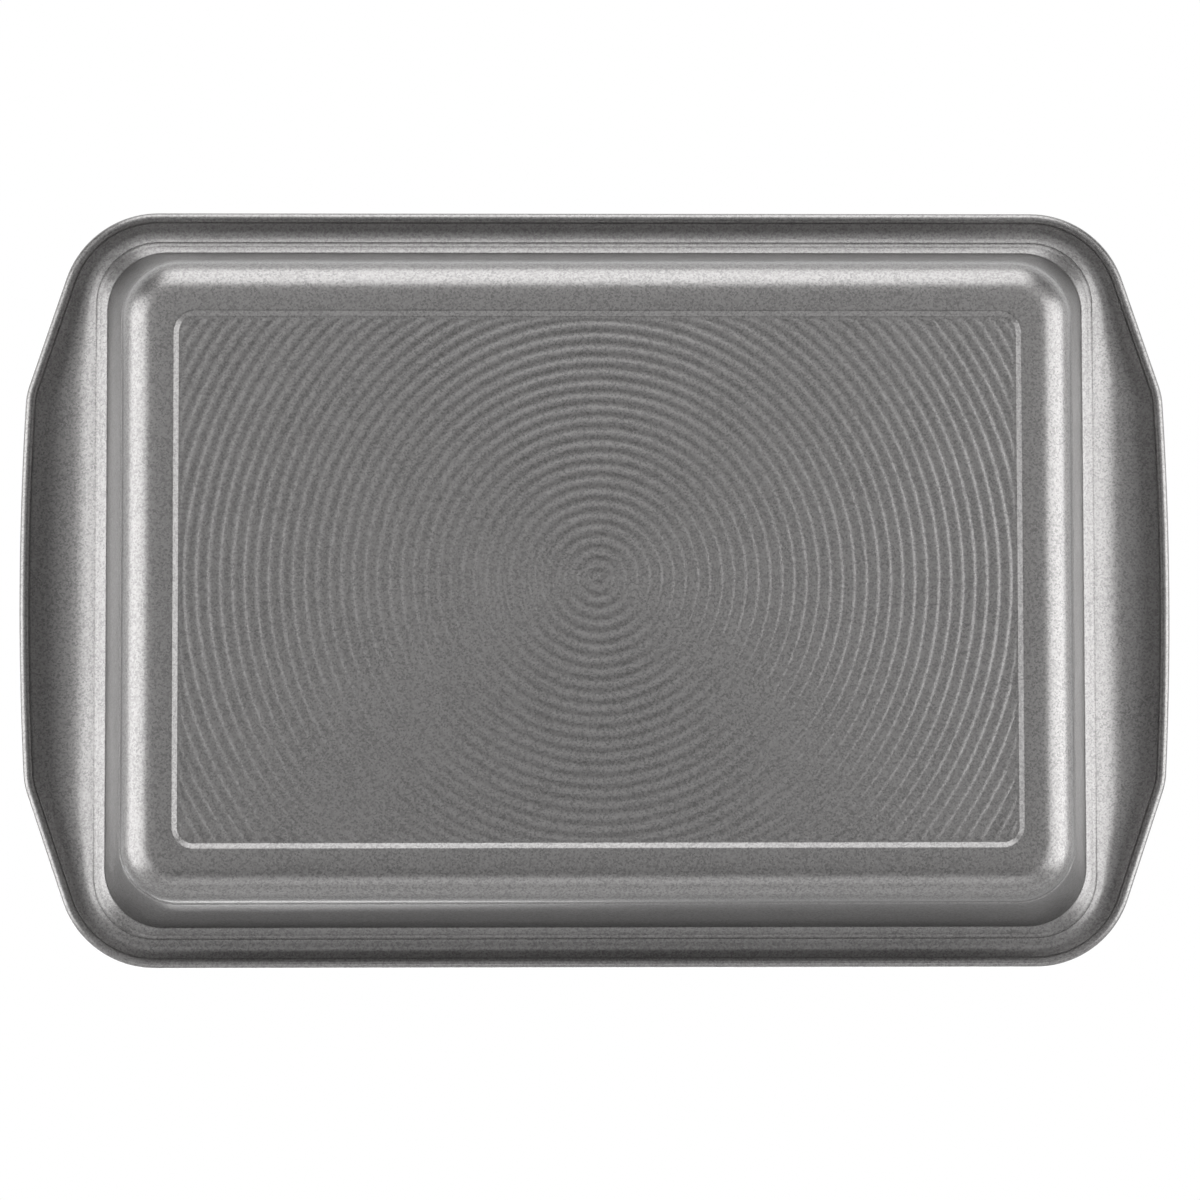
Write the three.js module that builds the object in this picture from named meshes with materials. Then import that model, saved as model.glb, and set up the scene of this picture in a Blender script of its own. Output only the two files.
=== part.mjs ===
// Rectangular cake pan: one steel sheet, drawn and pressed, with its edge rolled over a wire hoop.
// Millimetres, +Z up, X along the length. The origin is on the table, under the middle of the base.

import * as THREE from "three";
import { mergeVertices } from "three/addons/utils/BufferGeometryUtils.js";

// Driving dimensions
const INCH = 25.4;
const MOUTH_LENGTH = 13 * INCH; // inside, at the top of the ledge under the rim
const MOUTH_WIDTH = 9 * INCH;
const OVERALL_LENGTH = 386.6; // over the two handles
const OVERALL_WIDTH = 10 * INCH; // over the rolled rim of the long sides
const SHEET = 0.7; // steel thickness
const WIRE_DIAMETER = 1.8;
const WIRE_CLEARANCE = 0.1; // all round, between the wire and the roll

// Base: a flat foot band, a lifted panel with rings pressed into it, and a rounded edge
const PANEL_LIFT = 1; // how far the panel stands above the table
const PANEL_STEP_RUN = 1.9; // width of the slope between the foot band and the panel
const FOOT_BAND = 5.5;
const BASE_EDGE_RADIUS = 11.7;
const RING_PITCH = 3.91;
const RING_HEIGHT = 0.2; // from the trough to the crest of the wave

// Wall and ledge
const WALL_FOOT_Z = 12.6; // the crease where the drafted wall meets the rounded base edge
const WALL_TOP_Z = 48.5;
const WALL_DRAFT = THREE.MathUtils.degToRad(12.45);
const LEDGE_SLOPE = THREE.MathUtils.degToRad(30);
const LEDGE_RUN = 1.6; // from the wall to the mouth
const LEDGE_UPPER_SLOPE = THREE.MathUtils.degToRad(32);
const LEDGE_UPPER_RUN = 2.85; // from the mouth to the root of the flange

// Flange, handles and rolled rim
const FLANGE_ROOT_SLOPE = THREE.MathUtils.degToRad(22);
const RIM_CENTRE_Z = 48.5; // height of the wire's middle
const RIM_DROOP = THREE.MathUtils.degToRad(34); // the flange turns down this much where the roll begins
const ROLL_TURN = THREE.MathUtils.degToRad(318);
const RIM_CORNER = 31; // radius of the wire's corners
const HANDLE_SLANT = THREE.MathUtils.degToRad(18.6); // of the handle's flanks, from the Y axis
const HANDLE_ARC_RADIUS = 1150; // the handle's bowed outer edge
const HANDLE_BLEND = 0.8; // rounds the corner between the flank and the bowed edge

// Corner radii of the sheet's middle, from the panel out to the root of the flange
const PANEL_CORNER = 5.2;
const FOOT_CORNER = 7.4;
const BASE_CORNER = 7.2;
const WALL_FOOT_CORNER = 18.9;
const WALL_TOP_CORNER = 19.5;
const MOUTH_CORNER = 19.8;
const FLANGE_CORNER = 21.05;

// Facets
const RING_STEPS = 8; // in a quarter turn of a wide ring
const CORNER_STEPS = 7;
const BASE_EDGE_STEPS = 3;
const FLANGE_STEPS = 4;
const ROLL_STEPS = 8;
const WIRE_SIDES = 8;

// Every contour of the pan is this much longer than wide on each side of the middle.
const EXTRA_REACH = (MOUTH_LENGTH - MOUTH_WIDTH) / 2;

// Reach is the distance from the long axis at the middle of a long side, to the sheet's middle.
const MOUTH_REACH = MOUTH_WIDTH / 2 + SHEET / 2;
const WALL_TOP_REACH = MOUTH_REACH - LEDGE_RUN;
const WALL_FOOT_REACH = WALL_TOP_REACH - (WALL_TOP_Z - WALL_FOOT_Z) * Math.tan(WALL_DRAFT);
const BASE_REACH = WALL_FOOT_REACH - BASE_EDGE_RADIUS;
const FOOT_REACH = BASE_REACH - FOOT_BAND;
const PANEL_REACH = FOOT_REACH - PANEL_STEP_RUN;
const MOUTH_Z = WALL_TOP_Z + LEDGE_RUN * Math.tan(LEDGE_SLOPE);
const FLANGE_REACH = MOUTH_REACH + LEDGE_UPPER_RUN;
const FLANGE_Z = MOUTH_Z + LEDGE_UPPER_RUN * Math.tan(LEDGE_UPPER_SLOPE);

const WIRE_RADIUS = WIRE_DIAMETER / 2;
const ROLL_RADIUS = WIRE_RADIUS + WIRE_CLEARANCE + SHEET / 2; // to the sheet's middle
const ROLL_OUTER_RADIUS = ROLL_RADIUS + SHEET / 2;
const RIM_REACH = OVERALL_WIDTH / 2 - ROLL_OUTER_RADIUS; // of the wire, along the long sides
const HANDLE_REACH = OVERALL_LENGTH / 2 - EXTRA_REACH - ROLL_OUTER_RADIUS; // of the wire, at the handle's middle

// The flange is drawn on rays from the centre of its root's corner. The wire's corner is wider, so its centre lies
// nearer the middle of the pan.
const CORNER_CENTRE_Y = FLANGE_REACH - FLANGE_CORNER;
const RIM_CENTRE_Y = RIM_REACH - RIM_CORNER;

function smoothMin(a, b, width) {
  const share = THREE.MathUtils.clamp(0.5 + (b - a) / (2 * width), 0, 1);
  return THREE.MathUtils.lerp(b, a, share) - width * share * (1 - share);
}

// Reach of the wire along a short side: the slanted flank of the handle, then its bowed edge.
function handleReach(y) {
  const slantStart = {
    reach: CORNER_CENTRE_Y + RIM_CORNER * Math.cos(HANDLE_SLANT),
    y: RIM_CENTRE_Y + RIM_CORNER * Math.sin(HANDLE_SLANT),
  };
  const flank = slantStart.reach + (slantStart.y - y) * Math.tan(HANDLE_SLANT);
  const bow = HANDLE_REACH - y ** 2 / (2 * HANDLE_ARC_RADIUS);
  return smoothMin(flank, bow, HANDLE_BLEND);
}

// A station is one place round the pan where the sheet's section is drawn. Along places it on a straight side, from
// 0 at the middle to 1 at the corner, and stretch widens the roll's section where it is cut at a slant.
function shortSideStation(y) {
  const step = 0.01;
  const slope = (handleReach(y + step) - handleReach(y - step)) / (2 * step);
  return { alongX: 1, alongY: y / CORNER_CENTRE_Y, angle: 0, rim: handleReach(y), stretch: Math.hypot(1, slope) };
}

// On a corner's ray the wire lies on its own corner's arc or, past the end of the arc, on the flank of the handle.
function cornerStation(angle) {
  const ray = new THREE.Vector2(Math.cos(angle), Math.sin(angle));
  const shift = new THREE.Vector2(0, CORNER_CENTRE_Y - RIM_CENTRE_Y);
  const ahead = ray.dot(shift);
  const toArc = Math.sqrt(RIM_CORNER ** 2 - shift.lengthSq() + ahead ** 2) - ahead;
  const turn = Math.max(ray.clone().multiplyScalar(toArc).add(shift).angle(), HANDLE_SLANT);
  const normal = new THREE.Vector2(Math.cos(turn), Math.sin(turn));
  const rim = CORNER_CENTRE_Y + (RIM_CORNER - normal.dot(shift)) / normal.dot(ray);
  return { alongX: 1, alongY: 1, angle, rim, stretch: 1 / normal.dot(ray) };
}

// One quarter of the pan, from the middle of a short side to the middle of a long side.
const SHORT_SIDE_YS = [0, 20, 40, 56, 62.5, 65.2, 68];
const QUARTER_STATIONS = [
  ...SHORT_SIDE_YS.map(shortSideStation),
  ...Array.from({ length: CORNER_STEPS + 1 }, (_, i) => cornerStation((i / CORNER_STEPS) * (Math.PI / 2))),
  { ...cornerStation(Math.PI / 2), alongX: 0 },
];

// A ring from the list of one quarter, which starts and ends on the pan's two middle planes.
function allRound(quarter) {
  return [
    ...quarter(1, 1),
    ...quarter(-1, 1).reverse().slice(1),
    ...quarter(-1, -1).slice(1),
    ...quarter(1, -1).reverse().slice(1, -1),
  ];
}

const stations = allRound((signX, signY) => QUARTER_STATIONS.map((station) => ({ ...station, signX, signY })));

// The point of a rounded rectangle at a station.
function contourPoint(station, { reach, z, corner }) {
  const centreX = (EXTRA_REACH + reach - corner) * station.alongX;
  const centreY = (reach - corner) * station.alongY;
  return new THREE.Vector3(
    station.signX * (centreX + corner * Math.cos(station.angle)),
    station.signY * (centreY + corner * Math.sin(station.angle)),
    z,
  );
}

// The sheet's middle from inside the panel's edge to the root of the flange, which is the same all round.
function traySection() {
  const edge = Array.from({ length: BASE_EDGE_STEPS + 1 }, (_, i) => {
    const turn = (i / BASE_EDGE_STEPS) * (Math.PI / 2);
    const out = BASE_EDGE_RADIUS * Math.sin(turn);
    return {
      reach: BASE_REACH + out,
      z: SHEET / 2 + BASE_EDGE_RADIUS * (1 - Math.cos(turn)),
      corner: BASE_CORNER + out,
    };
  });
  const panelZ = PANEL_LIFT + SHEET / 2;
  return [
    { reach: PANEL_REACH - PANEL_CORNER, z: panelZ, corner: 0 },
    { reach: PANEL_REACH, z: panelZ, corner: PANEL_CORNER },
    { reach: FOOT_REACH, z: SHEET / 2, corner: FOOT_CORNER },
    ...edge,
    { reach: WALL_FOOT_REACH, z: WALL_FOOT_Z, corner: WALL_FOOT_CORNER },
    { reach: WALL_TOP_REACH, z: WALL_TOP_Z, corner: WALL_TOP_CORNER },
    { reach: MOUTH_REACH, z: MOUTH_Z, corner: MOUTH_CORNER },
    { reach: FLANGE_REACH, z: FLANGE_Z, corner: FLANGE_CORNER },
  ];
}

// The flange is a low arch that rises from its root and droops where the roll takes over.
function flangeSection(station) {
  const rollStart = new THREE.Vector2(
    station.rim + ROLL_RADIUS * Math.sin(-RIM_DROOP),
    RIM_CENTRE_Z + ROLL_RADIUS * Math.cos(RIM_DROOP),
  );
  const root = new THREE.Vector2(FLANGE_REACH, FLANGE_Z);
  const length = rollStart.x - root.x;
  const pull = length / 3;
  const curve = new THREE.CubicBezierCurve(
    root,
    new THREE.Vector2(root.x + pull, root.y + pull * Math.tan(FLANGE_ROOT_SLOPE)),
    new THREE.Vector2(rollStart.x - pull, rollStart.y + pull * Math.tan(RIM_DROOP)),
    rollStart,
  );
  return curve.getPoints(FLANGE_STEPS).slice(1).map((p) => ({ reach: p.x, z: p.y }));
}

// The roll turns outwards, down and back under the flange, round the wire.
function rollSection(station) {
  return Array.from({ length: ROLL_STEPS }, (_, i) => {
    const angle = Math.PI / 2 + RIM_DROOP - ((i + 1) / ROLL_STEPS) * ROLL_TURN;
    return {
      reach: station.rim + ROLL_RADIUS * station.stretch * Math.cos(angle),
      z: RIM_CENTRE_Z + ROLL_RADIUS * Math.sin(angle),
    };
  });
}

function sheetSection(station) {
  const outer = [...flangeSection(station), ...rollSection(station)];
  const concentric = (p) => ({ ...p, corner: FLANGE_CORNER + p.reach - FLANGE_REACH });
  return [...traySection(), ...outer.map(concentric)];
}

// One face of the sheet: the section moved sideways, square to each stretch, with mitred corners.
function faceOf(section, offset) {
  const normals = section.slice(1).map((p, i) => {
    const along = new THREE.Vector2(p.reach - section[i].reach, p.z - section[i].z).normalize();
    return new THREE.Vector2(-along.y, along.x);
  });
  return section.map((p, i) => {
    const before = normals[Math.max(i - 1, 0)];
    const after = normals[Math.min(i, normals.length - 1)];
    const mitre = before.clone().add(after).divideScalar(1 + before.dot(after));
    const reach = p.reach + mitre.x * offset;
    return { reach, z: p.z + mitre.y * offset, corner: p.corner + reach - p.reach };
  });
}

// Triangles between two lines of points that run the same way round, facing up when the second is further out.
function zip(first, second) {
  const triangles = [];
  let i = 0;
  let j = 0;
  while (i < first.length - 1 || j < second.length - 1) {
    const ahead = i < first.length - 1 ? first[i + 1].distanceToSquared(second[j]) : Infinity;
    const across = j < second.length - 1 ? first[i].distanceToSquared(second[j + 1]) : Infinity;
    if (ahead < across) {
      triangles.push([first[i], second[j], first[i + 1]]);
      i++;
    } else {
      triangles.push([first[i], second[j], second[j + 1]]);
      j++;
    }
  }
  return triangles;
}

function zipLines(lines) {
  return lines.slice(1).flatMap((line, i) => zip(lines[i], line));
}

function zipLoops(loops) {
  return zipLines(loops.map((loop) => [...loop, loop[0]]));
}

function mirrored(point, signX, signY) {
  return new THREE.Vector3(point.x * signX, point.y * signY, point.z);
}

// The angles between which a ring lies on a quarter of the panel, whose corner is rounded about a centre.
function ringEnds(radius, halfLength, halfWidth, centre, corner) {
  const apexTurn = centre.angle();
  const chord = (centre.lengthSq() + radius ** 2 - corner ** 2) / (2 * radius * centre.length());
  const spread = Math.acos(Math.min(chord, 1));
  const short = Math.acos(Math.min(halfLength / radius, 1));
  const long = Math.asin(Math.min(halfWidth / radius, 1));
  const pastShort = radius > halfLength && radius * Math.sin(short) > centre.y;
  const pastLong = radius > halfWidth && radius * Math.cos(long) > centre.x;
  return [pastShort ? apexTurn - spread : short, pastLong ? apexTurn + spread : long];
}

// Narrow rings have fewer facets. The facets of one ring line up with those of the next.
function ringAngles(radius, from, to) {
  if (radius === 0) return [from];
  const steps = radius < 12 ? 3 : radius < 40 ? 5 : RING_STEPS;
  const step = Math.PI / 2 / steps;
  const clear = 0.3 * step;
  const between = Array.from({ length: steps }, (_, s) => s * step);
  return [from, ...between.filter((angle) => angle > from + clear && angle < to - clear), to];
}

// One quarter of a face of the ringed panel. Each ring is an arc that ends on a middle plane or on the panel's edge.
function quarterRings(edge) {
  const halfLength = EXTRA_REACH + edge.reach;
  const halfWidth = edge.reach;
  const centre = new THREE.Vector2(halfLength - edge.corner, halfWidth - edge.corner);
  const onEdge = (radius, angle) =>
    new THREE.Vector3(radius * Math.cos(angle), radius * Math.sin(angle), edge.z);
  const apex = onEdge(centre.length() + edge.corner, centre.angle());
  const shortMiddle = onEdge(halfLength, 0);
  const longMiddle = onEdge(halfWidth, Math.PI / 2);

  const arcs = [];
  const gussets = []; // fill the edge where the rings first run out on it
  const shortEdge = [shortMiddle];
  const longEdge = [longMiddle];
  for (let i = 0; (i * RING_PITCH) / 2 < apex.length(); i++) {
    const radius = (i * RING_PITCH) / 2;
    const crest = i % 2 === 0 ? -1 : 1;
    const [from, to] = ringEnds(radius, halfLength, halfWidth, centre, edge.corner);
    const waveZ = edge.z + (crest * RING_HEIGHT) / 2;
    const arc = ringAngles(radius, from, to).map((angle) => onEdge(radius, angle).setZ(waveZ));
    if (radius > halfLength) {
      arc[0].setZ(edge.z);
      if (shortEdge.length === 1) gussets.push([arcs.at(-1)[0], shortMiddle, arc[0]]);
      shortEdge.push(arc[0]);
    }
    if (radius > halfWidth) {
      arc.at(-1).setZ(edge.z);
      if (longEdge.length === 1) gussets.push([arcs.at(-1).at(-1), arc.at(-1), longMiddle]);
      longEdge.push(arc.at(-1));
    }
    arcs.push(arc);
  }
  arcs.push([apex]);
  return { triangles: [...zipLines(arcs), ...gussets], edge: [...shortEdge, apex, ...longEdge.reverse()] };
}

function ringedPanel(edge) {
  const quarter = quarterRings(edge);
  const quarters = [
    [1, 1],
    [-1, 1],
    [-1, -1],
    [1, -1],
  ].flatMap(([signX, signY]) =>
    quarter.triangles.map((triangle) => {
      const points = triangle.map((point) => mirrored(point, signX, signY));
      return signX * signY > 0 ? points : points.reverse();
    }),
  );
  const loop = allRound((signX, signY) => quarter.edge.map((point) => mirrored(point, signX, signY)));
  return { triangles: quarters, loop };
}

function geometryOf(triangles) {
  return mergeVertices(new THREE.BufferGeometry().setFromPoints(triangles.flat()), 1e-4);
}

// The loops of one face of the sheet, from the panel's edge to the end of the roll
function faceLoops(offset, panel) {
  const faces = stations.map((station) => faceOf(sheetSection(station), offset));
  const rows = faces[0].map((_, row) => faces.map((face, s) => contourPoint(stations[s], face[row])));
  return [panel.loop, ...rows.slice(2)];
}

function panShell() {
  const above = ringedPanel(faceOf(traySection(), SHEET / 2)[1]);
  const under = ringedPanel(faceOf(traySection(), -SHEET / 2)[1]);
  const loops = [...faceLoops(SHEET / 2, above), ...faceLoops(-SHEET / 2, under).reverse()];
  return geometryOf([
    ...above.triangles,
    ...zipLoops(loops),
    ...under.triangles.map((triangle) => [...triangle].reverse()),
  ]);
}

// The hoop lies in the roll all the way round.
function rimWire() {
  const loops = Array.from({ length: WIRE_SIDES + 1 }, (_, i) => {
    const angle = -(i / WIRE_SIDES) * 2 * Math.PI;
    return stations.map((station) => {
      const reach = station.rim + WIRE_RADIUS * station.stretch * Math.cos(angle);
      const z = RIM_CENTRE_Z + WIRE_RADIUS * Math.sin(angle);
      return contourPoint(station, { reach, z, corner: FLANGE_CORNER + reach - FLANGE_REACH });
    });
  });
  return geometryOf(zipLoops(loops));
}

const coatedSteel = new THREE.MeshStandardMaterial({ color: 0x6d6b6a, roughness: 0.45, metalness: 0.6 });
const brightSteel = new THREE.MeshStandardMaterial({ color: 0xb4b6b8, roughness: 0.35, metalness: 1 });

function part(name, geometry, material) {
  const mesh = new THREE.Mesh(geometry, material);
  mesh.name = name;
  return mesh;
}

const pan = new THREE.Group();
pan.add(part("pan_shell", panShell(), coatedSteel));
pan.add(part("rim_wire", rimWire(), brightSteel));

export default pan;
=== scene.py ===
# %% [markdown]
# # A rectangular cake pan
# The pan is one thin steel sheet: pressed, drawn and rolled over a wire at its edge, then coated in a satin
# grey. The photograph looks square at its underside. Here the pan stands upright on the table, as it is used,
# and the camera looks up at it from below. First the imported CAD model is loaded, because it fixes the place
# and the size of everything that follows.

import math

import bmesh
import bpy
import numpy as np
from mathutils import Matrix, Vector


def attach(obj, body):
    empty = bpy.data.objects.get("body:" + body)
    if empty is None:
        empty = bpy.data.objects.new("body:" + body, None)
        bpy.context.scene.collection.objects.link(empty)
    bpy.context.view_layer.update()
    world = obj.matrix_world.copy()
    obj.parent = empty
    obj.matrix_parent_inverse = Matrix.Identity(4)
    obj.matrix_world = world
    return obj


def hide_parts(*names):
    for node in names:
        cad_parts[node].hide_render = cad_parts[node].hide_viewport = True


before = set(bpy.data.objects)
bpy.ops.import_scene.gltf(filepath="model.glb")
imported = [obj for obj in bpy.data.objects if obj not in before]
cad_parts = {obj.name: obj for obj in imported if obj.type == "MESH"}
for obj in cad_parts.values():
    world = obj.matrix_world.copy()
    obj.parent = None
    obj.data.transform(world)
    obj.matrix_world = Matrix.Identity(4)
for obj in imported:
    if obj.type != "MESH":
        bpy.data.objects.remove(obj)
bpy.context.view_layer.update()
bpy.ops.object.select_all(action="DESELECT")
MM = 0.001

# %% [markdown]
# ## Sizes
# A drawn pan is easy to describe by one section through its sheet. "Reach" is the distance from the long axis
# at the middle of a long side. Every outline is longer than wide by the same amount, so one reach gives a
# whole outline. All values are in millimetres and belong to the middle of the sheet, so that half the
# thickness lies on each side.

# %% Sizes of the sheet
SHEET = 0.7
HALF_WIDTH = 127
HALF_LENGTH = 193.3
LONGER = 50.8  # half of the difference between 13 and 9 inches

MOUTH_REACH = 114.65
KICK_RUN = 1.6
KICK_SLOPE = math.radians(30)
WALL_TOP_REACH = MOUTH_REACH - KICK_RUN
WALL_TOP_Z = 48.5
WALL_FOOT_Z = 12.6
WALL_DRAFT = math.radians(12.45)
WALL_FOOT_REACH = WALL_TOP_REACH - (WALL_TOP_Z - WALL_FOOT_Z) * math.tan(WALL_DRAFT)
MOUTH_Z = WALL_TOP_Z + KICK_RUN * math.tan(KICK_SLOPE)

BASE_EDGE_RADIUS = 11.7
FOOT_BAND = 5.5
STEP_RUN = 1.9
STEP_RISE = 1
BASE_REACH = WALL_FOOT_REACH - BASE_EDGE_RADIUS
FOOT_REACH = BASE_REACH - FOOT_BAND
PANEL_REACH = FOOT_REACH - STEP_RUN
PANEL_Z = STEP_RISE + SHEET / 2

LEDGE_RUN = 2.85
LEDGE_SLOPE = math.radians(32)
FLANGE_REACH = MOUTH_REACH + LEDGE_RUN
FLANGE_Z = MOUTH_Z + LEDGE_RUN * math.tan(LEDGE_SLOPE)
FLANGE_CORNER = 21.05
CORNER_CENTRE = FLANGE_REACH - FLANGE_CORNER
ROOT_SLOPE = math.radians(22)

ROLL_RADIUS = 1.35
RIM_CENTRE_Z = 48.5
RIM_REACH = HALF_WIDTH - ROLL_RADIUS - SHEET / 2
RIM_CORNER = 31
RIM_CENTRE = RIM_REACH - RIM_CORNER
HANDLE_REACH = HALF_LENGTH - LONGER - ROLL_RADIUS - SHEET / 2
SLANT = math.radians(18.6)
print("table to the middle of the rim:", RIM_CENTRE_Z, "mm")
print("wall foot to mouth:", round(MOUTH_Z - WALL_FOOT_Z, 2), "mm")

# %% [markdown]
# ## Stations round the pan
# The section is drawn at many stations round the pan: close together in the corners and along the handles,
# where the outline bends, and further apart on the long sides. One quarter is listed and mirrored to the
# other three.

# %% Places where the section is drawn
HANDLE_BOW_RADIUS = 1150
FLANK_EASE = 1.6
SLOPE_STEP = 0.01
HANDLE_PLACES = [*range(0, 60, 3), 60, 62, 63.5, 65, 66.5, 68, 70, 73, 80, 88]
CORNER_STEPS = 24
LONG_SIDE_STEPS = 22


def handle_reach(y):
    """Reach of the rolled rim along a short side: a slanted flank that eases into a bowed edge."""
    start = RIM_CENTRE + RIM_CORNER * math.sin(SLANT)
    flank = CORNER_CENTRE + RIM_CORNER * math.cos(SLANT) + (start - y) * math.tan(SLANT)
    bow = HANDLE_REACH - y**2 / (2 * HANDLE_BOW_RADIUS)
    share = min(max(0.5 + (bow - flank) / FLANK_EASE, 0), 1)
    return bow + (flank - bow) * share - FLANK_EASE / 2 * share * (1 - share)


def short_side(y):
    slope = (handle_reach(y + SLOPE_STEP) - handle_reach(y - SLOPE_STEP)) / (2 * SLOPE_STEP)
    stretch = math.hypot(1, slope)
    return {"x": 1, "y": y / CORNER_CENTRE, "angle": 0, "rim": handle_reach(y), "stretch": stretch}


def corner(angle):
    """On a corner's ray the rim lies on its own wider arc or, past the arc's end, on the handle's flank."""
    shift = CORNER_CENTRE - RIM_CENTRE
    ahead = shift * math.sin(angle)
    to_arc = math.sqrt(RIM_CORNER**2 - shift**2 + ahead**2) - ahead
    turn = max(math.atan2(to_arc * math.sin(angle) + shift, to_arc * math.cos(angle)), SLANT)
    facing = math.cos(turn - angle)
    rim = CORNER_CENTRE + (RIM_CORNER - shift * math.sin(turn)) / facing
    return {"x": 1, "y": 1, "angle": angle, "rim": rim, "stretch": 1 / facing}


def long_side(x):
    return {**corner(math.pi / 2), "x": x}


quarter = [short_side(y) for y in HANDLE_PLACES]
quarter += [corner(math.radians(turn)) for turn in np.linspace(0, 90, CORNER_STEPS + 1)]
quarter += [long_side(x) for x in np.linspace(1, 0, LONG_SIDE_STEPS + 1)[1:]]


def mirrored(sign_x, sign_y):
    return [{**station, "sign_x": sign_x, "sign_y": sign_y} for station in quarter]


stations = mirrored(1, 1) + mirrored(-1, 1)[-2::-1] + mirrored(-1, -1)[1:] + mirrored(1, -1)[-2:0:-1]
print("stations:", len(stations))

# %% [markdown]
# ## The section of the sheet
# From the panel outwards the sheet steps down to the flat band that the pan stands on, turns up round the
# base edge to a crease, and takes a small step out at the wall's foot. It rises as a drafted wall and kicks
# out over a narrow ledge into the flange. Presses leave soft bends, never sharp ones, so each bend is a small
# arc. The tool also leaves fine draw lines on the ledge, which are shallow grooves.

# %% Bends and draw lines
STEP_LEAD = 0.6
STEP_BEND = 1.0
CREASE_BEND = 0.4
TOE_RUN = 0.42
TOE_RISE = 0.5
TOE_BEND = 1.2
WALL_TOP_BEND = 1.8
STRIP_RUN = 1.35
STRIP_GROOVE = {"depth": 0.04, "half_width": 0.75}
ROOT_GROOVE = {"depth": 0.035, "half_width": 0.25}
SHOULDER = 0.6  # depth half-way down a groove's side, as a share of the whole


def arms(before, point, after):
    """A point of the section, and the directions from it to its two neighbours."""
    point = np.array(point)
    to_before, to_after = np.array(before) - point, np.array(after) - point
    return point, to_before / np.linalg.norm(to_before), to_after / np.linalg.norm(to_after)


def bend(before, point, after, radius, steps):
    """The points of an arc that replaces a sharp bend."""
    point, to_a, to_b = arms(before, point, after)
    half = math.acos(np.clip(to_a @ to_b, -1, 1)) / 2
    middle = (to_a + to_b) / np.linalg.norm(to_a + to_b)
    centre = point + middle * radius / math.sin(half)
    start = point + to_a * radius / math.tan(half) - centre
    end = point + to_b * radius / math.tan(half) - centre
    turn = math.pi - 2 * half
    weights = [(math.sin((1 - t) * turn) / math.sin(turn), math.sin(t * turn) / math.sin(turn))
               for t in np.linspace(0, 1, steps + 1)]
    return [tuple(centre + start * u + end * v) for u, v in weights]


def draw_line(before, point, after, depth, half_width):
    """A shallow groove across the outside of the sheet."""
    point, to_a, to_b = arms(before, point, after)
    along = (to_b - to_a) / np.linalg.norm(to_b - to_a)
    inside = np.array((-along[1], along[0]))
    shoulders = [(point + to_a * half_width, 0), (point + to_a * half_width / 2, SHOULDER), (point, 1),
                 (point + to_b * half_width / 2, SHOULDER), (point + to_b * half_width, 0)]
    return [tuple(place + inside * depth * share) for place, share in shoulders]


def tray_section():
    """The sheet's middle from the panel's edge to the root of the flange."""
    inner = (PANEL_REACH - STEP_LEAD, PANEL_Z)
    step = (PANEL_REACH, PANEL_Z)
    foot = (FOOT_REACH, SHEET / 2)
    heel = (WALL_FOOT_REACH, SHEET / 2)
    crease = (WALL_FOOT_REACH, WALL_FOOT_Z)
    toe = (WALL_FOOT_REACH + TOE_RUN, WALL_FOOT_Z + TOE_RISE)
    wall_top = (WALL_TOP_REACH, WALL_TOP_Z)
    mouth = (MOUTH_REACH, MOUTH_Z)
    strip = (MOUTH_REACH + STRIP_RUN, MOUTH_Z + STRIP_RUN * math.tan(LEDGE_SLOPE))
    root = (FLANGE_REACH, FLANGE_Z)
    ahead = (FLANGE_REACH + 1, FLANGE_Z + math.tan(ROOT_SLOPE))
    return [
        inner,
        *bend(inner, step, foot, STEP_BEND, steps=4),
        *bend(step, foot, heel, STEP_BEND, steps=4),
        *bend(foot, heel, crease, BASE_EDGE_RADIUS, steps=12),
        *bend(heel, crease, toe, CREASE_BEND, steps=3),
        *bend(crease, toe, wall_top, TOE_BEND, steps=5),
        *bend(toe, wall_top, mouth, WALL_TOP_BEND, steps=6),
        *draw_line(mouth, strip, root, **STRIP_GROOVE),
        *draw_line(strip, root, ahead, **ROOT_GROOVE),
    ]


print("section points from the panel to the flange:", len(tray_section()))

# %% [markdown]
# The flange is a low arch from the ledge to the rim, long at the handles and short elsewhere. The rim is the
# same sheet rolled under for most of a turn. Hand-fed rolling leaves the lip a little uneven at the handles,
# so the roll closes slightly more at two places on each. Slopes and turns are in degrees here.

# %% Flange and roll
FLANGE_STEPS = 12
FLANGE_START = 0.08
RISE_AT_HANDLE = 22
RISE_AT_SIDE = 18.5
RISE_PULL = 0.55
LONGEST_PULL = 10
DROOP_AT_HANDLE = 28
DROOP_AT_SIDE = 34
DROOP_EASE = 10
FALL_PULL = 0.28
ROLL_STEPS = 18
ROLL_TURN = 316
TUCK_TURN = 12
TUCK_PLACE = 12.8
TUCK_WIDTH = 2.6


def blend(station, at_handle, at_side):
    """A value that changes from the handles, round the corners, to the long sides."""
    return at_handle + (at_side - at_handle) * math.sin(station["angle"]) ** 2


def droop(station):
    """The angle at which the flange runs down into the roll: flatter where the handle is long."""
    reaches = (RIM_REACH + DROOP_EASE, HANDLE_REACH)
    return math.radians(np.interp(station["rim"], reaches, (DROOP_AT_SIDE, DROOP_AT_HANDLE)))


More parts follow.
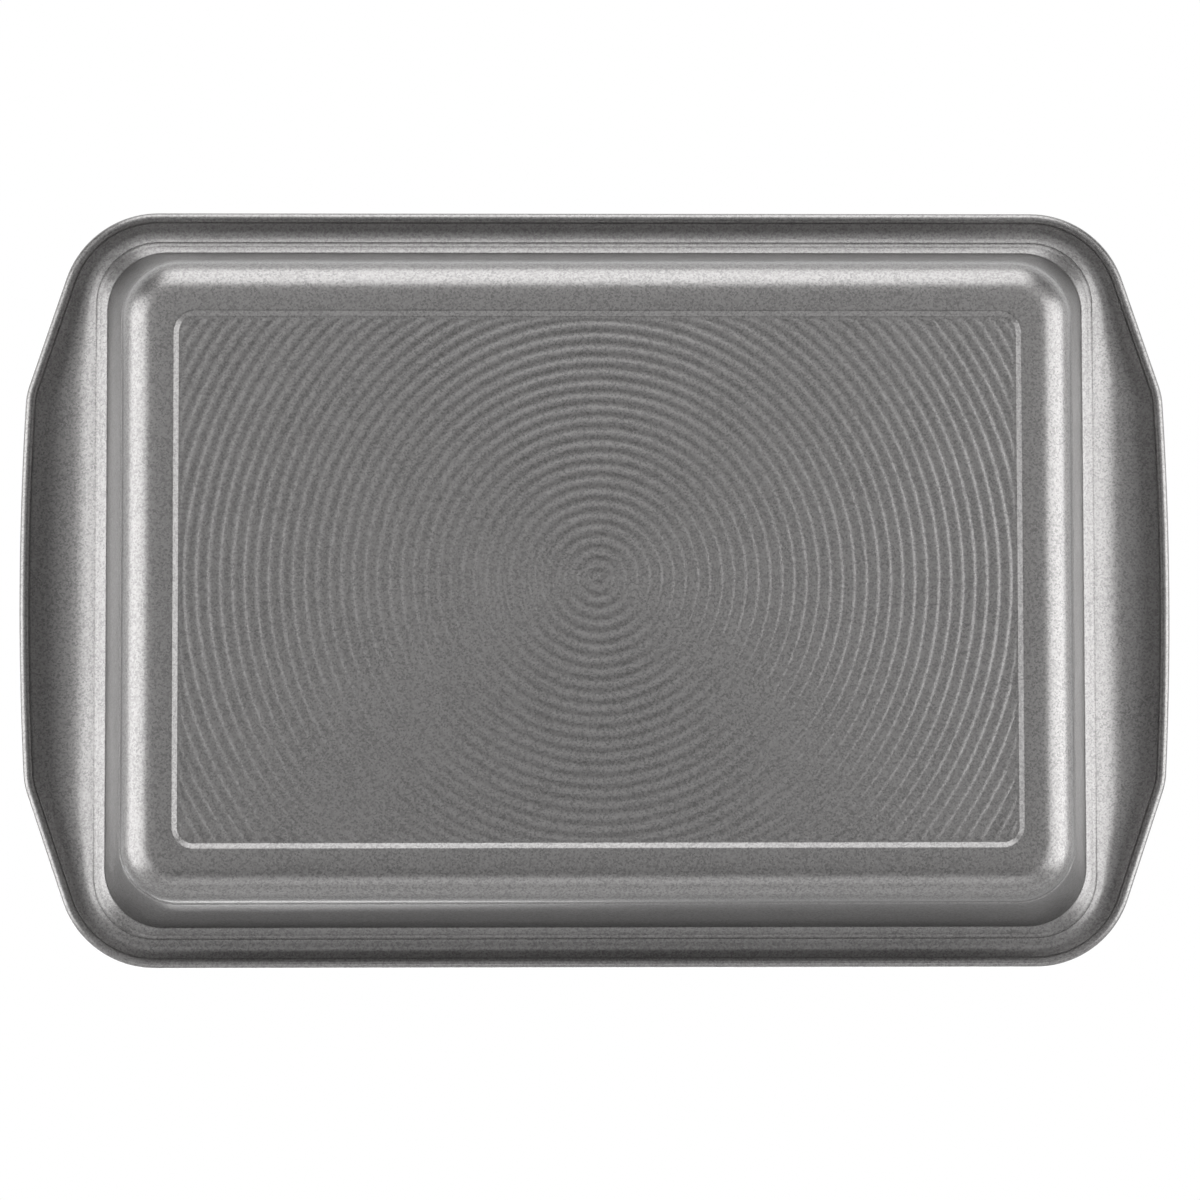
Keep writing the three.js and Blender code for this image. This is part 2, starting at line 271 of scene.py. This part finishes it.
def flange_section(station):
    """The arch of the flange: a curve that is pulled up at the ledge and down at the roll."""
    down = droop(station)
    up = math.radians(blend(station, RISE_AT_HANDLE, RISE_AT_SIDE))
    start = np.array((FLANGE_REACH, FLANGE_Z))
    end = np.array((station["rim"] - ROLL_RADIUS * math.sin(down),
                    RIM_CENTRE_Z + ROLL_RADIUS * math.cos(down)))
    length = end[0] - start[0]
    rise = start + min(length * RISE_PULL, LONGEST_PULL) * np.array((1, math.tan(up)))
    fall = end + length * FALL_PULL * np.array((-1, math.tan(down)))
    curve = []
    for t in np.linspace(FLANGE_START, 1, FLANGE_STEPS):
        u = 1 - t
        curve.append(tuple(start * u**3 + rise * 3 * u**2 * t + fall * 3 * u * t**2 + end * t**3))
    return curve


def roll_turn(station):
    """How far the sheet is rolled, in radians."""
    if station["angle"] > 0:
        return math.radians(ROLL_TURN)
    past_tuck = (station["y"] * CORNER_CENTRE - TUCK_PLACE) / TUCK_WIDTH
    return math.radians(ROLL_TURN + TUCK_TURN * math.exp(-(past_tuck**2)))


def roll_section(station):
    points = []
    for step in range(1, ROLL_STEPS + 1):
        angle = math.pi / 2 + droop(station) - roll_turn(station) * step / ROLL_STEPS
        reach = station["rim"] + ROLL_RADIUS * station["stretch"] * math.cos(angle)
        points.append((reach, RIM_CENTRE_Z + ROLL_RADIUS * math.sin(angle)))
    return points


FAR_OUT = 100  # past the flange's root all corners have the same centre
CORNERS_BY_REACH = {
    PANEL_REACH: 5.2,
    FOOT_REACH: 7.4,
    BASE_REACH: 7.2,
    WALL_FOOT_REACH: 18.9,
    WALL_TOP_REACH: 19.5,
    MOUTH_REACH: 19.8,
    FLANGE_REACH: FLANGE_CORNER,
    FLANGE_REACH + FAR_OUT: FLANGE_CORNER + FAR_OUT,
}


def place(station, point):
    """A point of the section at a station, in metres."""
    reach, z = point
    bend_radius = float(np.interp(reach, list(CORNERS_BY_REACH), list(CORNERS_BY_REACH.values())))
    x = (LONGER + reach - bend_radius) * station["x"] + bend_radius * math.cos(station["angle"])
    y = (reach - bend_radius) * station["y"] + bend_radius * math.sin(station["angle"])
    return Vector((station["sign_x"] * x, station["sign_y"] * y, z)) * MM


sections = [tray_section() + flange_section(station) + roll_section(station) for station in stations]
print("points in each section:", {len(section) for section in sections})

# %% [markdown]
# ## The tray
# A circle with one point per station is laid on the panel's edge. Its loop of edges is then extruded again
# and again, and each new loop is laid on the next line of the section. Extruding keeps the points in step, so
# the walls have clean four-sided faces that run round the pan, as the stretch of the real metal does.

# %% Extrude the tray from the panel's edge outwards
PLACE_DIGITS = 7


def select_vertices(mesh, chosen):
    """Selects vertices by number, with nothing else selected."""
    flags = np.zeros(len(mesh.vertices), dtype=bool)
    flags[list(chosen)] = True
    mesh.polygons.foreach_set("select", np.zeros(len(mesh.polygons), dtype=bool))
    mesh.edges.foreach_set("select", np.zeros(len(mesh.edges), dtype=bool))
    mesh.vertices.foreach_set("select", flags)


def rounded_place(vertex):
    return tuple(round(c, PLACE_DIGITS) for c in vertex.co)


def extrude_loop(sheet, loop, line):
    """Extrudes an open loop of edges and lays the new one on the points of a line."""
    mesh = sheet.data
    select_vertices(mesh, loop)
    bpy.ops.object.mode_set(mode="EDIT")
    bpy.ops.mesh.select_mode(type="VERT")
    bpy.ops.mesh.extrude_edges_move()
    bpy.ops.object.mode_set(mode="OBJECT")
    here = {rounded_place(mesh.vertices[old]): step for step, old in enumerate(loop)}
    new_loop = [0] * len(loop)
    for number in range(len(mesh.vertices) - len(loop), len(mesh.vertices)):
        new_loop[here[rounded_place(mesh.vertices[number])]] = number
    for number, point in zip(new_loop, line):
        mesh.vertices[number].co = point
    return new_loop


bpy.ops.mesh.primitive_circle_add(vertices=len(stations), radius=0.1, fill_type="NOTHING")
tray = bpy.context.object
loop = list(range(len(stations)))
lines = [[place(station, section[row]) for station, section in zip(stations, sections)]
         for row in range(len(sections[0]))]
for number, point in zip(loop, lines[0]):
    tray.data.vertices[number].co = point
for line in lines[1:]:
    loop = extrude_loop(tray, loop, line)
print("tray faces:", len(tray.data.polygons))

# %% [markdown]
# ## The ringed panel
# The rings are a shallow wave that runs out from the middle of the base. A straight edge is cut into short
# lengths, its points are lifted to the wave, and it is spun once round.

# %% Spin the rings
RING_PITCH = 3.936
RING_HEIGHT = 0.31
PARTS_PER_RING = 8
SPOKES = 96
SEAM = 0.001

bpy.ops.object.select_all(action="DESELECT")
bpy.ops.mesh.primitive_plane_add(size=2)
panel = bpy.context.object
rings = math.ceil(math.hypot(PANEL_REACH + LONGER, PANEL_REACH) / RING_PITCH)
select_vertices(panel.data, [v.index for v in panel.data.vertices if v.co.x < 0])
bpy.ops.object.mode_set(mode="EDIT")
bpy.ops.mesh.delete(type="VERT")
bpy.ops.object.mode_set(mode="OBJECT")
for vertex in panel.data.vertices:
    vertex.co = (0 if vertex.co.y < 0 else rings * RING_PITCH * MM, 0, 0)
bpy.ops.object.mode_set(mode="EDIT")
bpy.ops.mesh.select_all(action="SELECT")
bpy.ops.mesh.subdivide(number_cuts=rings - 1)
bpy.ops.mesh.subdivide(number_cuts=PARTS_PER_RING - 1)
bpy.ops.object.mode_set(mode="OBJECT")
for vertex in panel.data.vertices:
    wave = -math.cos(2 * math.pi * vertex.co.x / (RING_PITCH * MM)) * RING_HEIGHT / 2
    vertex.co.z = (PANEL_Z + wave) * MM
bpy.ops.object.mode_set(mode="EDIT")
bpy.ops.mesh.select_all(action="SELECT")
bpy.ops.mesh.spin(steps=SPOKES, angle=2 * math.pi, center=(0, 0, 0), axis=(0, 0, 1))
bpy.ops.mesh.select_all(action="SELECT")
bpy.ops.mesh.remove_doubles(threshold=SEAM * MM)
print("rings:", rings)

# %% [markdown]
# The disc is trimmed along the panel's outline with bisect planes, which cuts every ring off exactly where
# the real one stops. The points are put in a fixed order first, so that close ones merge the same way in
# every run. Then a narrow flat border is extruded.

# %% Trim the rings
TRIM_GAP = 1.3
TRIM_REACH = PANEL_REACH - TRIM_GAP
TRIM_CORNER = 4.1
CUTS_PER_CORNER = 8
CLOSE_POINTS = 0.15
BORDER = 0.4

arc_centre = Vector((LONGER + TRIM_REACH - TRIM_CORNER, TRIM_REACH - TRIM_CORNER, 0))
for sign_x in (1, -1):
    for sign_y in (1, -1):
        centre = Vector((sign_x * arc_centre.x, sign_y * arc_centre.y, 0))
        for turn in np.linspace(0, 90, CUTS_PER_CORNER):
            angle = math.radians(turn)
            facing = Vector((sign_x * math.cos(angle), sign_y * math.sin(angle), 0))
            cut = (centre + facing * TRIM_CORNER) * MM
            bpy.ops.mesh.select_all(action="SELECT")
            bpy.ops.mesh.bisect(plane_co=cut, plane_no=facing, clear_outer=True)
trimmed = bmesh.from_edit_mesh(panel.data)
trimmed.verts.sort(key=lambda vertex: vertex.co.x + math.pi * vertex.co.y)
bmesh.update_edit_mesh(panel.data)
bpy.ops.mesh.select_all(action="SELECT")
bpy.ops.mesh.remove_doubles(threshold=CLOSE_POINTS * MM)
bpy.ops.mesh.select_mode(type="EDGE")
bpy.ops.mesh.select_all(action="DESELECT")
bpy.ops.mesh.select_non_manifold(use_wire=False, use_multi_face=False, use_non_contiguous=False,
                                 use_verts=False)
bpy.ops.mesh.extrude_edges_move()
bpy.ops.object.mode_set(mode="OBJECT")
for vertex in panel.data.vertices:
    if vertex.select:
        past_x = max(abs(vertex.co.x) - arc_centre.x * MM, 0)
        past_y = max(abs(vertex.co.y) - arc_centre.y * MM, 0)
        outwards = Vector((past_x, past_y)).normalized() * BORDER * MM
        vertex.co.x += math.copysign(outwards.x, vertex.co.x)
        vertex.co.y += math.copysign(outwards.y, vertex.co.y)
        vertex.co.z = PANEL_Z * MM
print("panel faces:", len(panel.data.polygons))

# %% [markdown]
# ## One sheet
# Panel and tray are joined into one mesh. The two open loops that face each other have different numbers of
# points, so they are zipped: walking round both at once, each new triangle takes the nearer of the next two
# points. Then the sheet gets its thickness, half on each side, and the cut edge inside the roll gets a slot
# of its own.

# %% Join, zip and thicken
SMOOTH_BELOW = math.radians(50)


def edge_loop(mesh, wanted):
    """Vertices of an open edge, in order round the middle of the pan."""
    open_edges = [edge for edge in mesh.edges if edge.is_boundary]
    found = {vertex for edge in open_edges for vertex in edge.verts if wanted(vertex.index)}
    return sorted(found, key=lambda vertex: math.atan2(vertex.co.y, vertex.co.x))


def zip_loops(mesh, first, second):
    """Closes the gap between two loops with triangles."""
    i = j = 0
    while i < len(first) or j < len(second):
        a, b = first[i % len(first)], second[j % len(second)]
        next_a, next_b = first[(i + 1) % len(first)], second[(j + 1) % len(second)]
        step_first = (next_a.co - b.co).length if i < len(first) else math.inf
        step_second = (next_b.co - a.co).length if j < len(second) else math.inf
        if step_first < step_second:
            mesh.faces.new((a, b, next_a))
            i += 1
        else:
            mesh.faces.new((a, b, next_b))
            j += 1


bpy.ops.object.select_all(action="DESELECT")
tray_points = len(tray.data.vertices)
panel.select_set(True)
tray.select_set(True)
bpy.context.view_layer.objects.active = tray
bpy.ops.object.join()
pan = tray
pan.name = "pan_sheet"
pan.data.name = "pan_sheet"
bpy.ops.object.mode_set(mode="EDIT")
editing = bmesh.from_edit_mesh(pan.data)
panel_edge = edge_loop(editing, lambda number: number >= tray_points)
tray_edge = edge_loop(editing, lambda number: number < len(stations))
zip_loops(editing, panel_edge, tray_edge)
bmesh.update_edit_mesh(pan.data)
bpy.ops.mesh.select_all(action="SELECT")
bpy.ops.mesh.normals_make_consistent(inside=False)
bpy.ops.object.mode_set(mode="OBJECT")

thickness = pan.modifiers.new("sheet thickness", "SOLIDIFY")
thickness.thickness = SHEET * MM
thickness.offset = 0
thickness.use_even_offset = True
thickness.material_offset_rim = 1
bpy.ops.object.modifier_apply(modifier=thickness.name)
bpy.ops.object.shade_smooth_by_angle(angle=SMOOTH_BELOW)
print("sheet faces:", len(pan.data.polygons))

# %% [markdown]
# ## The coating
# The finish is a satin grey baked-on coating with fine metal flake in it: darker than bare steel, soft in its
# reflections, and lightly grained when seen close. A fine cell pattern gives each flake its own brightness, a
# slow cloud keeps large areas from looking dead, and a very shallow bump breaks up the gloss.

# %% Coated steel
CLOUD_SHARE = 0.35
DARK_FLAKE = (0.11, 0.107, 0.106, 1)
BRIGHT_FLAKE = (0.214, 0.209, 0.207, 1)


def add_node(tree, kind, values=None):
    """Adds a shader node and sets some of its inputs by name."""
    node = tree.nodes.new(kind)
    for name, value in (values or {}).items():
        node.inputs[name].default_value = value
    return node


def new_material(name, values):
    """A material with some inputs of its main shader set, and its node tree."""
    material = bpy.data.materials.new(name)
    material.use_nodes = True
    tree = material.node_tree
    shader = tree.nodes["Principled BSDF"]
    for socket, value in values.items():
        shader.inputs[socket].default_value = value
    return material, tree, shader


def coated_steel():
    finish = {"Metallic": 0.9, "Coat Weight": 1.0, "Coat Roughness": 0.27}
    material, tree, shader = new_material("coated_steel", finish)
    link = tree.links.new
    here = add_node(tree, "ShaderNodeTexCoord").outputs["Object"]

    flakes = add_node(tree, "ShaderNodeTexVoronoi", {"Scale": 1900})
    link(here, flakes.inputs["Vector"])
    flake_tone = add_node(tree, "ShaderNodeSeparateColor")
    link(flakes.outputs["Color"], flake_tone.inputs["Color"])

    cloud = add_node(tree, "ShaderNodeTexNoise", {"Scale": 45, "Detail": 4})
    link(here, cloud.inputs["Vector"])
    mix_tone = add_node(tree, "ShaderNodeMath")
    mix_tone.operation = "MULTIPLY_ADD"
    mix_tone.inputs[1].default_value = CLOUD_SHARE
    link(cloud.outputs["Fac"], mix_tone.inputs[0])
    link(flake_tone.outputs["Red"], mix_tone.inputs[2])

    ramp = add_node(tree, "ShaderNodeValToRGB")
    dark, bright = ramp.color_ramp.elements
    dark.position = 0.05
    dark.color = DARK_FLAKE
    bright.position = 1.25 / (1 + CLOUD_SHARE)
    bright.color = BRIGHT_FLAKE
    link(mix_tone.outputs["Value"], ramp.inputs["Fac"])
    link(ramp.outputs["Color"], shader.inputs["Base Color"])

    gloss = add_node(tree, "ShaderNodeMapRange", {"To Min": 0.36, "To Max": 0.46})
    link(flake_tone.outputs["Green"], gloss.inputs["Value"])
    link(gloss.outputs["Result"], shader.inputs["Roughness"])

    grain = add_node(tree, "ShaderNodeTexNoise", {"Scale": 900, "Detail": 3})
    link(here, grain.inputs["Vector"])
    bump = add_node(tree, "ShaderNodeBump", {"Strength": 0.2, "Distance": 0.0002})
    link(grain.outputs["Fac"], bump.inputs["Height"])
    link(bump.outputs["Normal"], shader.inputs["Normal"])
    return material


coat = coated_steel()
print("coating nodes:", len(coat.node_tree.nodes))

# %% [markdown]
# ## Bare steel
# The blank's cut edge is trimmed before it is rolled, so a thin line of brighter metal shows inside the roll.
# The wire under the roll is drawn steel. Both have fine lines along their length, made with a stretched
# noise.

# %% Bright steel
DARK_LINES = 0.75  # tone of the darkest lines, as a share of the brightest
BLUE_CAST = 0.01


def bright_steel(name, tone, stretch):
    material, tree, shader = new_material(name, {"Metallic": 1.0})
    link = tree.links.new
    here = add_node(tree, "ShaderNodeTexCoord").outputs["Object"]
    mapping = add_node(tree, "ShaderNodeMapping", {"Scale": stretch})
    link(here, mapping.inputs["Vector"])
    drawn_lines = add_node(tree, "ShaderNodeTexNoise", {"Scale": 300, "Detail": 5})
    link(mapping.outputs["Vector"], drawn_lines.inputs["Vector"])
    ramp = add_node(tree, "ShaderNodeValToRGB")
    dark, bright = ramp.color_ramp.elements
    dark.color = (tone * DARK_LINES, tone * DARK_LINES, tone * (DARK_LINES + BLUE_CAST), 1)
    bright.color = (tone, tone, tone * (1 + BLUE_CAST), 1)
    link(drawn_lines.outputs["Fac"], ramp.inputs["Fac"])
    link(ramp.outputs["Color"], shader.inputs["Base Color"])
    gloss = add_node(tree, "ShaderNodeMapRange", {"To Min": 0.3, "To Max": 0.42})
    link(drawn_lines.outputs["Fac"], gloss.inputs["Value"])
    link(gloss.outputs["Result"], shader.inputs["Roughness"])
    return material


cut_edge = bright_steel("bare_cut_edge", 0.6, (1, 1, 6))
drawn_wire = bright_steel("drawn_wire", 0.55, (0.3, 0.3, 4))
pan.data.materials.append(coat)
pan.data.materials.append(cut_edge)
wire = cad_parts["rim_wire"]
wire.data.materials.clear()
wire.data.materials.append(drawn_wire)
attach(pan, "root")
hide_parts("pan_shell")
print("slots on the sheet:", [slot.name for slot in pan.data.materials])

# %% [markdown]
# ## Table and surroundings
# The pan stands on a pale table. The photograph is taken from below, so the table only shows from above: seen
# from underneath, and to reflections and shadows, it is clear. It fades into the white background, so no edge
# shows.

# %% Table
TABLE_SIZE = 14
TABLE_Z = -0.0002
FADE_FROM = 0.35
FADE_TO = 1.1


def calculate(tree, operation, first, second):
    """Adds a math node on two outputs."""
    step = add_node(tree, "ShaderNodeMath")
    step.operation = operation
    tree.links.new(first, step.inputs[0])
    tree.links.new(second, step.inputs[1])
    return step.outputs["Value"]


def ease(tree, value, start, end, low, high):
    """A level that goes smoothly from low to high while a value goes from start to end."""
    ends = {"From Min": start, "From Max": end, "To Min": low, "To Max": high}
    change = add_node(tree, "ShaderNodeMapRange", ends)
    change.interpolation_type = "SMOOTHSTEP"
    tree.links.new(value, change.inputs["Value"])
    return change.outputs["Result"]


def show_mix(tree, share, first, second, output):
    """Shows the first shader where the share is zero and the second where it is one."""
    mix = add_node(tree, "ShaderNodeMixShader")
    tree.links.new(share, mix.inputs["Fac"])
    tree.links.new(first, mix.inputs[1])
    tree.links.new(second, mix.inputs[2])
    tree.links.new(mix.outputs["Shader"], tree.nodes[output].inputs["Surface"])


bpy.ops.object.select_all(action="DESELECT")
bpy.ops.mesh.primitive_plane_add(size=TABLE_SIZE, location=(0, 0, TABLE_Z))
floor = bpy.context.object
floor.name = "table"
table_top, top, main_shader = new_material("table_top", {})
top.nodes.remove(main_shader)
pale = add_node(top, "ShaderNodeBsdfDiffuse", {"Color": (0.86, 0.86, 0.86, 1)})
clear = add_node(top, "ShaderNodeBsdfTransparent")
rays = add_node(top, "ShaderNodeLightPath")
side = add_node(top, "ShaderNodeNewGeometry")
from_above = calculate(top, "SUBTRACT", rays.outputs["Is Camera Ray"], side.outputs["Backfacing"])
from_above.node.use_clamp = True
distance = add_node(top, "ShaderNodeVectorMath")
distance.operation = "LENGTH"
top.links.new(add_node(top, "ShaderNodeTexCoord").outputs["Object"], distance.inputs[0])
fade = ease(top, distance.outputs["Value"], FADE_FROM, FADE_TO, 1, 0)
shown = calculate(top, "MULTIPLY", from_above, fade)
show_mix(top, shown, clear.outputs["BSDF"], pale.outputs["BSDF"], "Material Output")
floor.data.materials.append(table_top)
print("table at", round(floor.location.z / MM, 2), "mm")

# %% [markdown]
# The studio round the pan is white behind it, where the camera looks, and the metal's reflections show that
# white too. Below the pan it is dim apart from a soft patch over the photographer, which leans to the far
# side and to one end. That lean is what makes the rings show: one flank of each wave catches the patch and
# the other doesn't.

# %% World
WHITE = (1, 1, 1, 1)

world = bpy.data.worlds.new("studio")
bpy.context.scene.world = world
world.use_nodes = True
studio = world.node_tree
direction = add_node(studio, "ShaderNodeTexCoord")
split = add_node(studio, "ShaderNodeSeparateXYZ")
studio.links.new(direction.outputs["Generated"], split.inputs["Vector"])
height = add_node(studio, "ShaderNodeMapRange", {"From Min": -1})
studio.links.new(split.outputs["Z"], height.inputs["Value"])


def across(axis, low, high):
    """A level that changes smoothly from one side of the studio to the other."""
    return ease(studio, split.outputs[axis], -0.5, 0.5, low, high)


def band(levels):
    """A level for each angle from straight below, in degrees."""
    ramp = add_node(studio, "ShaderNodeValToRGB")
    stops = ramp.color_ramp.elements
    while len(stops) < len(levels):
        stops.new(0.5)
    for stop, (angle, level) in zip(stops, levels.items()):
        stop.position = (1 - math.cos(math.radians(angle))) / 2
        stop.color = (level, level, level, 1)
    studio.links.new(height.outputs["Result"], ramp.inputs["Fac"])
    return ramp.outputs["Color"]


def plus(first, second):
    return calculate(studio, "ADD", first, second)


def times(first, second):
    return calculate(studio, "MULTIPLY", first, second)


patch = times(band({0: 1, 12: 1, 32: 0}), plus(across("X", 0, 0.46), across("Y", 0, 0.78)))
far_glow = times(band({95: 0, 110: 1, 180: 1}), across("Y", 0, 1))
near_levels = {32: 0, 55: 0.1, 80: 1, 95: 1, 110: 0.37, 180: 0.37}
near_glow = times(band(near_levels), across("Y", 1.25, 0))
surround = studio.nodes["Background"]
surround.inputs["Color"].default_value = WHITE
studio.links.new(plus(patch, plus(far_glow, near_glow)), surround.inputs["Strength"])
white = add_node(studio, "ShaderNodeBackground", {"Color": WHITE})
rays = add_node(studio, "ShaderNodeLightPath")
mirrored_rays = plus(rays.outputs["Is Glossy Ray"], rays.outputs["Is Transmission Ray"])
behind = times(band({90: 0, 105: 1}), across("Y", 0.3, 1))
white_share = plus(rays.outputs["Is Camera Ray"], times(mirrored_rays, behind))
show_mix(studio, white_share, surround.outputs["Background"], white.outputs["Background"], "World Output")
print("world nodes:", len(studio.nodes))

# %% [markdown]
# ## Lamps
# Large soft lamps stand round the pan a little below the table's level, as the photograph's bright edges ask:
# strong on three sides and weak on the fourth. One more above lights the inside for the other views.

# %% Softboxes
MIDDLE_Z = 0.02


def softbox(name, location, size, power):
    """A soft lamp that points at the middle of the pan."""
    bpy.ops.object.light_add(type="AREA", location=location)
    lamp = bpy.context.object
    lamp.name = name
    lamp.data.shape = "RECTANGLE"
    lamp.data.size, lamp.data.size_y = size
    lamp.data.energy = power
    lamp.visible_camera = False
    aim = Vector((0, 0, MIDDLE_Z)) - Vector(location)
    lamp.rotation_euler = aim.to_track_quat("-Z", "Y").to_euler()


def below(turn, angle):
    """A place one metre from the pan, by its turn round the pan and its angle from straight below."""
    turn, angle = math.radians(turn), math.radians(angle)
    return (math.sin(angle) * math.cos(turn), math.sin(angle) * math.sin(turn), MIDDLE_Z - math.cos(angle))


softbox("lamp_left", below(0, 66.5), (1.05, 1.02), 13.3)
softbox("lamp_right", below(180, 64), (1.05, 1.06), 14.3)
softbox("lamp_far", below(90, 66), (1.05, 0.98), 12.8)
softbox("lamp_near", below(270, 50), (1.05, 0.35), 2.2)
softbox("lamp_above", (0.3, -0.4, 1.5), (1.2, 1.2), 14)

# %% [markdown]
# ## Camera
# The photograph is a long-lens view, square on apart from a tilt of a few degrees. The scale at the rim and
# the smaller growth of the base towards the lens give the distance.

# %% Camera from below
RIM_PIXELS_PER_MM = 2.975
PHOTO_PIXELS = 1200
SENSOR = 36
DISTANCE = 1534
AIM = Vector((-1.4, -3.85, RIM_CENTRE_Z))
TILT_ALONG = math.radians(1.1)
TILT_ACROSS = math.radians(3.85)
ROLL = -0.0018
back = Vector((math.sin(TILT_ALONG), -math.sin(TILT_ACROSS), -1)).normalized()
camera_data = bpy.data.cameras.new("camera")
camera_data.sensor_width = SENSOR
camera_data.lens = SENSOR * DISTANCE / (PHOTO_PIXELS / RIM_PIXELS_PER_MM)
camera = bpy.data.objects.new("camera", camera_data)
bpy.context.collection.objects.link(camera)
camera.location = (AIM + back * DISTANCE) * MM
right = Vector((ROLL, 1, 0)).cross(back).normalized()
camera.rotation_euler = Matrix((right, back.cross(right), back)).transposed().to_euler()
bpy.context.scene.camera = camera
bpy.context.scene.view_settings.view_transform = "Standard"
print("lens:", round(camera_data.lens, 1), "mm")
